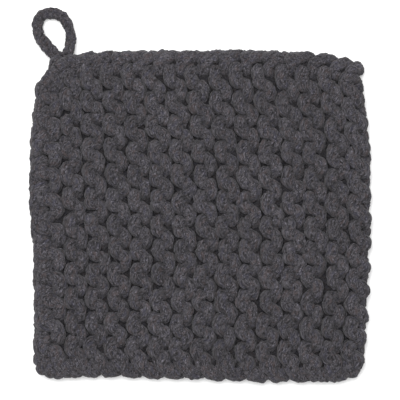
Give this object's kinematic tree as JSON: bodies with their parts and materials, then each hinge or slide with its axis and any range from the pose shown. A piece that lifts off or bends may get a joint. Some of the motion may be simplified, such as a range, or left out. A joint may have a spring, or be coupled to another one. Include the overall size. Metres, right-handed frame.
{
  "type": "knitted pot holder",
  "caption": "Thick square pot holder knitted in garter stitch from chunky dark grey cotton yarn, with a chained hanging loop at one top corner.",
  "frame": {"origin": "centre of the whole outline, loop and all, on the surface that the pot holder lies on", "axes": "+X to the right across the face, +Y up the face towards the edge with the loop, +Z out of the face"},
  "size_m": [0.2036, 0.223, 0.012],
  "materials": {
    "knitted_yarn": "matte heathered cotton yarn, knitted",
    "chained_yarn": "matte heathered cotton yarn, chained into a cord"
  },
  "bodies": {
    "root": {"knitted_square": "knitted_yarn", "hanging_loop": "chained_yarn"}
  },
  "joints": []
}
